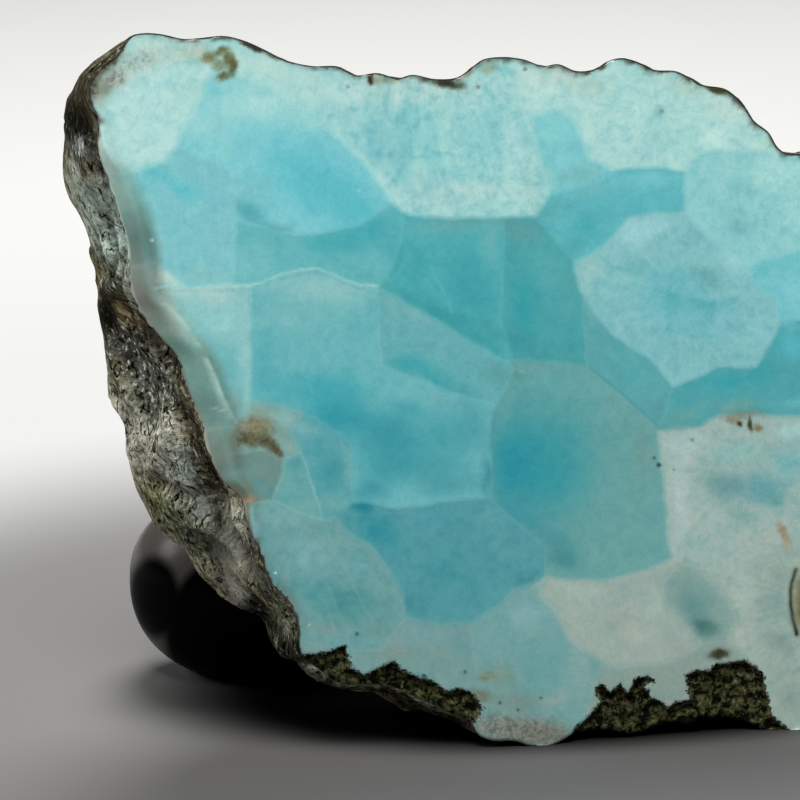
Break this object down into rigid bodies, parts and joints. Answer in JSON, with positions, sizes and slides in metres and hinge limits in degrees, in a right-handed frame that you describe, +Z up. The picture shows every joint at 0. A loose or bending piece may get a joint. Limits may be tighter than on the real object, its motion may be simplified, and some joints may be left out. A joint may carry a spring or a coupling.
{
  "type": "polished larimar slab on a display rest",
  "caption": "Upright slab of blue larimar with one polished face, dark natural rind and matrix pockets, leaning back on a small glossy black rest.",
  "frame": {"origin": "middle of the footprint, on the surface that the piece stands on", "axes": "+X to the right of the polished face, +Y from the polished face towards the rest behind it, +Z up"},
  "size_m": [0.0971, 0.0397, 0.0722],
  "materials": {
    "larimar_stone": "polished pale to deep blue pectolite cells, with rough dark grey and brown rind",
    "rest_black": "glossy black polish"
  },
  "bodies": {
    "root": {"larimar_slab": "larimar_stone", "display_rest": "rest_black"}
  },
  "joints": []
}
